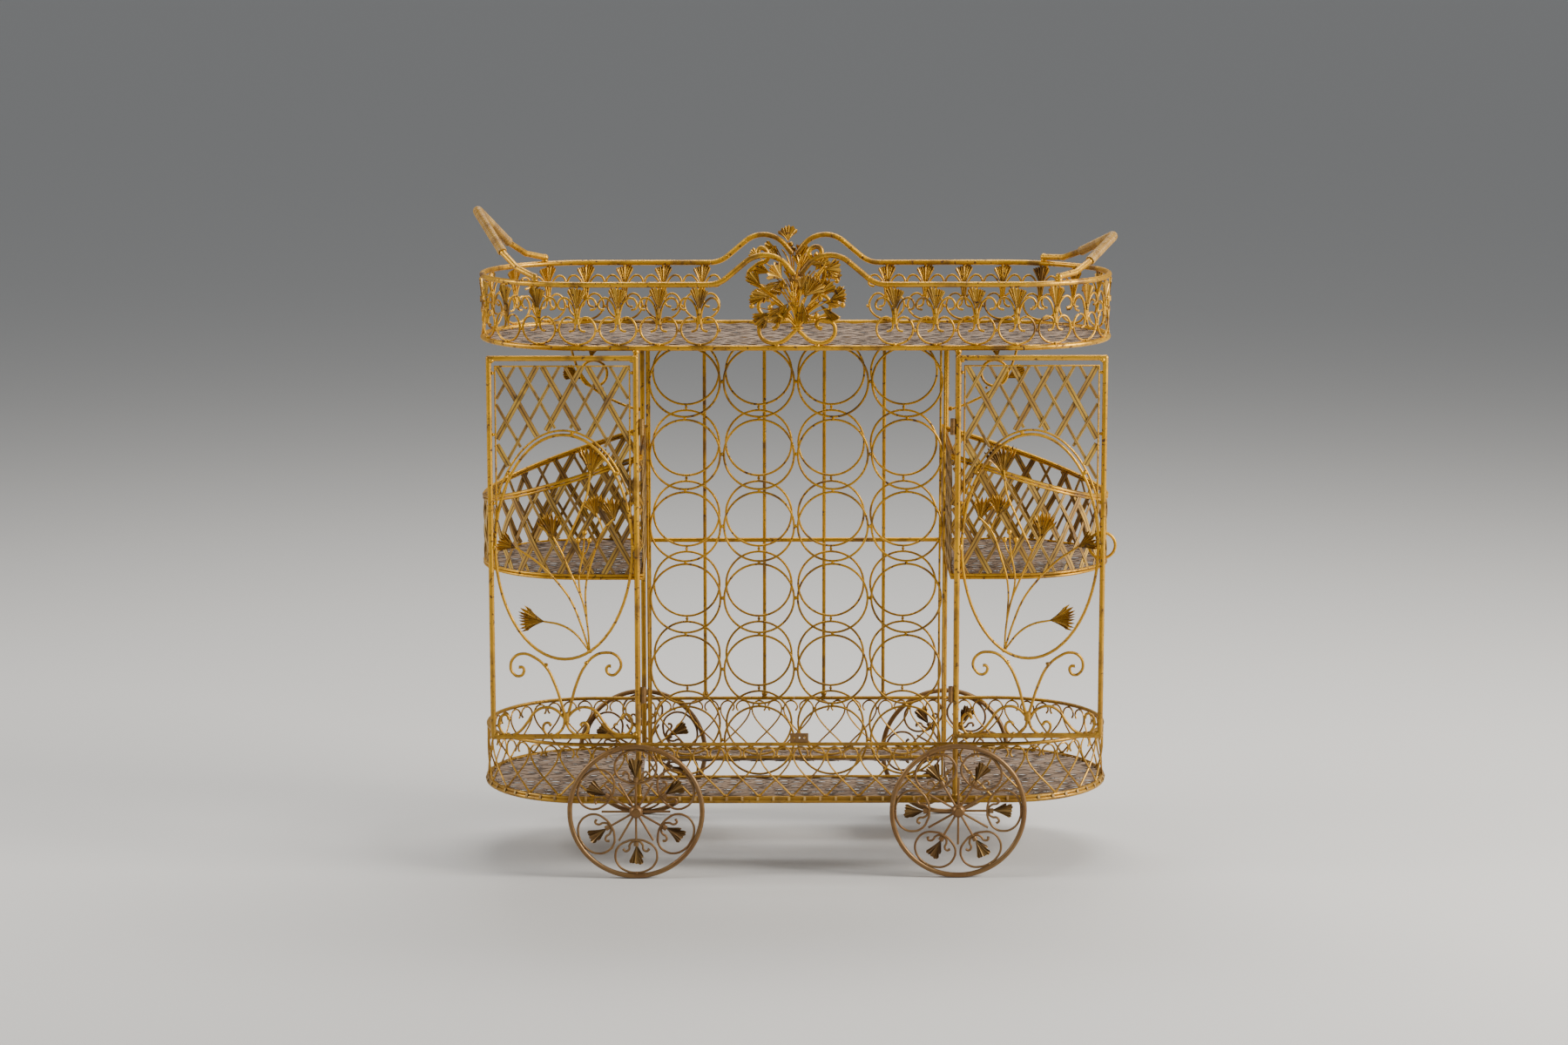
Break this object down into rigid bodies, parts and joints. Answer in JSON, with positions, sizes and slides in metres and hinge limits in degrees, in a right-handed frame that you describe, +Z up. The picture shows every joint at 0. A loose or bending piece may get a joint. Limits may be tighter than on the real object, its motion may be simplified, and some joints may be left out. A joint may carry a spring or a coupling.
{
  "type": "serving cart",
  "caption": "Oval wire bar cart with a gallery tray, wine rack, end baskets, lattice doors and spoked wheels.",
  "frame": {"origin": "on the floor, in the middle of the cart", "axes": "+X to the right along the cart, +Y to the back, +Z up"},
  "size_m": [0.8508, 0.3566, 0.8685],
  "materials": {
    "gold_iron": "worn satin paint",
    "rusty_iron": "rusted, matte",
    "bound_rim": "bound with split cane, matte",
    "rush_deck": "woven rush, matte",
    "cane_strip": "painted split cane, matte",
    "grip_cane": "wound cane, satin"
  },
  "bodies": {
    "cart": {"base_rim_lower": "bound_rim", "base_rim_upper": "gold_iron", "base_gallery": "gold_iron", "base_deck_left": "rush_deck", "base_deck_right": "rush_deck", "base_deck_front": "rush_deck", "base_deck_rear": "rush_deck", "posts": "gold_iron", "rear_rods": "gold_iron", "tray_rim": "gold_iron", "tray_deck": "rush_deck", "tray_gallery": "gold_iron", "tray_gallery_leaves": "gold_iron", "tray_rail_left": "gold_iron", "tray_rail_right": "gold_iron", "ornament_front": "gold_iron", "ornament_front_leaves": "gold_iron", "ornament_rear": "gold_iron", "ornament_rear_leaves": "gold_iron", "handle_left": "gold_iron", "handle_right": "gold_iron", "grip_left": "grip_cane", "grip_right": "grip_cane", "rack_rings_front": "gold_iron", "rack_rings_rear": "gold_iron", "rack_bars": "gold_iron", "basket_left_wall": "cane_strip", "basket_left_floor": "rush_deck", "basket_right_wall": "cane_strip", "basket_right_floor": "rush_deck", "rear_brackets": "gold_iron", "catch_plate": "rusty_iron", "hinges_fixed": "rusty_iron", "axles": "rusty_iron"},
    "door_left": {"door_left_frame": "gold_iron", "door_left_lattice": "cane_strip", "door_left_arch": "gold_iron", "door_left_scrolls": "gold_iron", "door_left_sprig": "gold_iron", "door_left_hinges": "rusty_iron"},
    "door_right": {"door_right_frame": "gold_iron", "door_right_lattice": "cane_strip", "door_right_arch": "gold_iron", "door_right_scrolls": "gold_iron", "door_right_sprig": "gold_iron", "door_right_hinges": "rusty_iron"},
    "ring_pull": {"ring_pull": "gold_iron"},
    "wheel_front_left": {"wheel_front_left_rim": "rusty_iron", "wheel_front_left_hub": "rusty_iron", "wheel_front_left_scrolls": "gold_iron"},
    "wheel_front_right": {"wheel_front_right_rim": "rusty_iron", "wheel_front_right_hub": "rusty_iron", "wheel_front_right_scrolls": "gold_iron"},
    "wheel_rear_left": {"wheel_rear_left_rim": "rusty_iron", "wheel_rear_left_hub": "rusty_iron", "wheel_rear_left_scrolls": "gold_iron"},
    "wheel_rear_right": {"wheel_rear_right_rim": "rusty_iron", "wheel_rear_right_hub": "rusty_iron", "wheel_rear_right_scrolls": "gold_iron"}
  },
  "joints": [
    {"name": "left_door_swing", "type": "hinge", "parent": "cart", "child": "door_left", "pos_m": [-0.201, -0.1475, 0.418], "axis": [0, 0, 1], "range_deg": [0, 180]},
    {"name": "right_door_swing", "type": "hinge", "parent": "cart", "child": "door_right", "pos_m": [0.201, -0.1475, 0.418], "axis": [0, 0, -1], "range_deg": [0, 180]},
    {"name": "ring_pull_swing", "type": "hinge", "parent": "door_right", "child": "ring_pull", "pos_m": [0.3973, -0.1401, 0.455], "axis": [1, 0, 0], "range_deg": [0, 150]},
    {"name": "wheel_front_left_spin", "type": "hinge", "parent": "cart", "child": "wheel_front_left", "pos_m": [-0.211, -0.169, 0.09], "axis": [0, 1, 0], "continuous": true},
    {"name": "wheel_front_right_spin", "type": "hinge", "parent": "cart", "child": "wheel_front_right", "pos_m": [0.211, -0.169, 0.09], "axis": [0, 1, 0], "continuous": true},
    {"name": "wheel_rear_left_spin", "type": "hinge", "parent": "cart", "child": "wheel_rear_left", "pos_m": [-0.211, 0.169, 0.09], "axis": [0, 1, 0], "continuous": true},
    {"name": "wheel_rear_right_spin", "type": "hinge", "parent": "cart", "child": "wheel_rear_right", "pos_m": [0.211, 0.169, 0.09], "axis": [0, 1, 0], "continuous": true}
  ]
}
